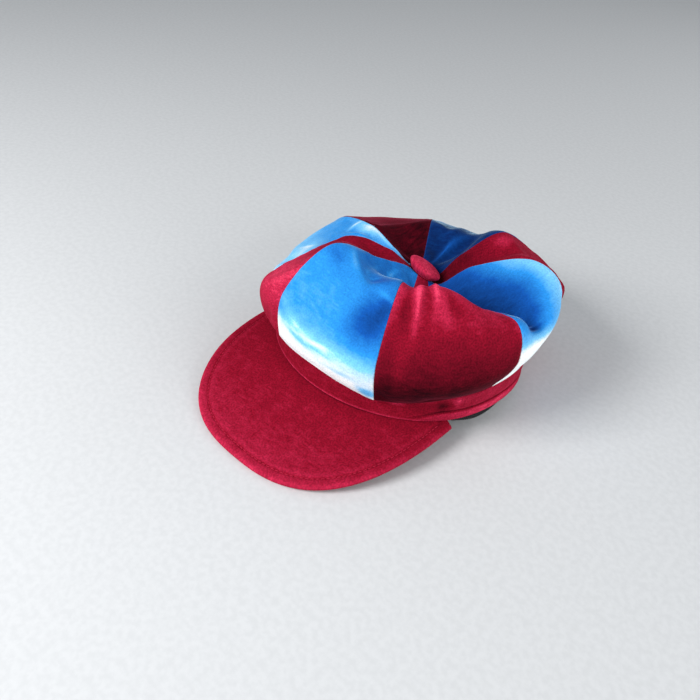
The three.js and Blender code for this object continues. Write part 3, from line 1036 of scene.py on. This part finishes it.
# The peak is painted darker near the band, as shade under the crown, and lighter towards its front.
BAND_SHADE = {"lift": -0.1, "width": 8.0}
OUTER_LIFT = {"lift": 0.12, "from": 20, "over": 60}
COVER_CLOTH = 1.4
UPWARD = np.array([0, 0, 1])


def from_border(plan):
    """Distance of each point of a grid's plan from its edge and its two short ends."""
    border = np.vstack([plan[0, ::-1], plan[1:, 0], plan[-1, 1:]])
    start, step = border[:-1], np.diff(border, axis=0)
    length = (step**2).sum(axis=1)

    def nearest(point):
        share = np.clip(((point - start) * step).sum(axis=1) / length, 0, 1)
        return np.hypot(*(point - start - share[:, None] * step).T).min()

    return np.array([[nearest(point) for point in column] for column in plan])


inside = from_border(face[..., :2])
seam_run = np.linalg.norm(face - face[:, -1:], axis=2)
rounding = 1 - np.clip(inside / EDGE_ROUND, 0, 1)
sunk = (PEAK_THICKNESS - EDGE_GAP) / 2 * (1 - np.sqrt(1 - rounding**2))
relief = STITCH_LINE["depth"] * bell(inside - STITCH_LINE["inside"], STITCH_LINE["width"])
relief = relief - PUFF["height"] * bell(inside - PUFF["inside"], PUFF["width"])
spots = face[..., :2] / PEAK_UNEVEN["size"]
uneven = np.array([[noise.noise((*p, PEAK_UNEVEN["seed"])) for p in column] for column in spots])
top = face - UPWARD * (sunk + relief - PEAK_UNEVEN["height"] * uneven)[..., None]
under = face - UPWARD * (PEAK_THICKNESS - sunk - relief)[..., None]
under[..., 2] = np.maximum(under[..., 2], 0)

peak_map = face[..., :2][..., ::-1] * MM
peak_lift = PLAIN_LIFT + BAND_SHADE["lift"] * bell(seam_run, BAND_SHADE["width"])
peak_lift = peak_lift + OUTER_LIFT["lift"] * smooth((seam_run - OUTER_LIFT["from"]) / OUTER_LIFT["over"])
for row in EDGE_LIGHT_AND_SHADE:
    peak_lift = peak_lift + row["lift"] * bell(inside - row["inside"], row["width"])

peak_top = cloth_piece("peak_top_velvet", top, peak_map, peak_lift, VELVETS["crimson"], COVER_CLOTH)
peak_under = cloth_piece(
    "peak_under_velvet", under[::-1], peak_map[::-1], peak_lift[::-1], VELVETS["crimson"], COVER_CLOTH
)
belongs(peak_top, "peak_top")
belongs(peak_under, "peak_under")
print("peak cover faces:", len(peak_top.data.polygons))

# %% [markdown]
# A covered button closes the crown where all the panels meet. Its outline is spun once round, and the
# velvet is gathered under its rim, so small pleats fade out towards the top. It leans with the sunken
# crown, back and to the wearer's left.

# %% Top button
BUTTON_OUTLINE = ((0.69, 0), (0.95, 0.4), (0.96, 0.68), (0.62, 0.88), (0, 1))
BUTTON_STEPS, BUTTON_RINGS = 72, 28
BUTTON_WELD = 0.02
# The button's lift is paler than plain velvet: a painted highlight on the lit button.
BUTTON_HIGHLIGHT_LIFT = 0.79
PLEATS = {"count": 17, "depth": 0.35, "fade": 1.5, "waver": 2}

bm = bmesh.new()
corners = [(r * BUTTON["radius"], h * BUTTON["height"]) for r, h in BUTTON_OUTLINE]
side, _ = smooth_curve(corners, BUTTON_RINGS)
bmesh.ops.create_circle(bm, segments=BUTTON_RINGS + 1, radius=1)
ordered = sorted(bm.verts, key=lambda v: math.atan2(v.co.y, v.co.x))
for vertex, (r, h) in zip(ordered, [(0, 0), *side]):
    vertex.co = (max(r, 0) * MM, 0, h * MM)
closing = [e for e in bm.edges if {ordered[0], ordered[-1]} == set(e.verts)]
bmesh.ops.delete(bm, geom=closing, context="EDGES")
spin_round(bm, BUTTON_STEPS, BUTTON_WELD)
bmesh.ops.recalc_face_normals(bm, faces=bm.faces)
for vertex in bm.verts:
    turn = math.atan2(vertex.co.y, vertex.co.x)
    rising = vertex.co.z / (BUTTON["height"] * MM)
    depth = PLEATS["depth"] * MM * max(0.0, 1 - rising) ** PLEATS["fade"]
    pleat = depth * math.cos(PLEATS["count"] * turn + PLEATS["waver"] * math.sin(turn))
    vertex.co.xy *= 1 - pleat / (BUTTON["radius"] * MM)
lean_towards = look_from(BUTTON["lean_bearing"], 90 - BUTTON["lean"])
seat = Vector((CROWN["x"], CROWN["y"], CROWN["z"])) * MM + lean_towards * GAP * MM
turned = Vector((0, 0, 1)).rotation_difference(lean_towards).to_matrix().to_4x4()
bmesh.ops.transform(bm, matrix=Matrix.Translation(seat) @ turned, verts=bm.verts)
button = into_scene("covered_button", bm)
button.data.shade_smooth()
places = np.array([v.co for v in button.data.vertices])
give_pile(button.data, places[:, :2], np.full(len(places), BUTTON_HIGHLIGHT_LIFT))
button.data.materials.append(crimson_velvet)
belongs(button, "top_button")
print("button faces:", len(button.data.polygons))

# %% [markdown]
# The stitches are single short threads, sunk in their lines. A ray finds the cloth under each one, so that
# it lies on the velvet wherever the line runs. Each is a small stretched ball, and a row is one mesh.

# %% Stitches
STITCH = {"length": 2.7, "pitch": 3.3, "radius": 0.26}
OUTLINE_STEPS = 900
CLEAR_OF_BAND = 1.01
RAY_START = 0.1


def stitch_row(name, places):
    """One mesh of stitches: places are (point, direction, normal) in metres."""
    bm = bmesh.new()
    half, radius = STITCH["length"] / 2 * MM, STITCH["radius"] * MM
    stretch = Matrix.Diagonal((half, radius, radius, 1))
    for point, direction, normal in places:
        side = normal.cross(direction).normalized()
        turn = Matrix((direction.normalized(), side, normal)).transposed().to_4x4()
        bmesh.ops.create_uvsphere(bm, u_segments=8, v_segments=6, radius=1,
                                  matrix=Matrix.Translation(point) @ turn @ stretch)
    row = into_scene(name, bm)
    row.data.shade_smooth()
    row.data.materials.append(crimson_thread)
    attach(row, "root")


def dropped(cover, plan, direction, downward):
    """The places on a cover over or under the points of a plan, each with its direction and normal."""
    tree = BVHTree.FromObject(cover, bpy.context.evaluated_depsgraph_get())
    ray = Vector((0, 0, -1 if downward else 1))
    found = []
    for (x, y), (dx, dy) in zip(plan, direction):
        hit, normal, _, _ = tree.ray_cast(Vector((x * MM, y * MM, -RAY_START * ray.z)), ray)
        if hit is not None:
            level_run = Vector((dx, dy, 0))
            found.append((hit, level_run - normal * normal.dot(level_run), normal))
    return found


outline = peak_edge(crowded(OUTLINE_STEPS, END_CROWD))[:, :2]
tangent = unit(np.gradient(outline, axis=0))
line = outline + STITCH_LINE["inside"] * np.stack([-tangent[:, 1], tangent[:, 0]], axis=1)
across_band, along_band = line[:, 0] / BAND["half_width"], line[:, 1] / BAND["half_length"]
outside_band = across_band**2 + along_band**2 > CLEAR_OF_BAND
line, tangent = line[outside_band], tangent[outside_band]
run = np.concatenate([[0], np.cumsum(np.hypot(*np.diff(line, axis=0).T))])
steps = np.arange(STITCH["pitch"], run[-1] - STITCH["pitch"], STITCH["pitch"])
plan = np.stack([np.interp(steps, run, line[:, k]) for k in (0, 1)], axis=1)
heading = np.stack([np.interp(steps, run, tangent[:, k]) for k in (0, 1)], axis=1)
for side, cover in (("top", peak_top), ("under", peak_under)):
    stitch_row("peak_stitches_" + side, dropped(cover, plan, heading, downward=side == "top"))
    print("stitches on the", side, "cover:", len(steps))
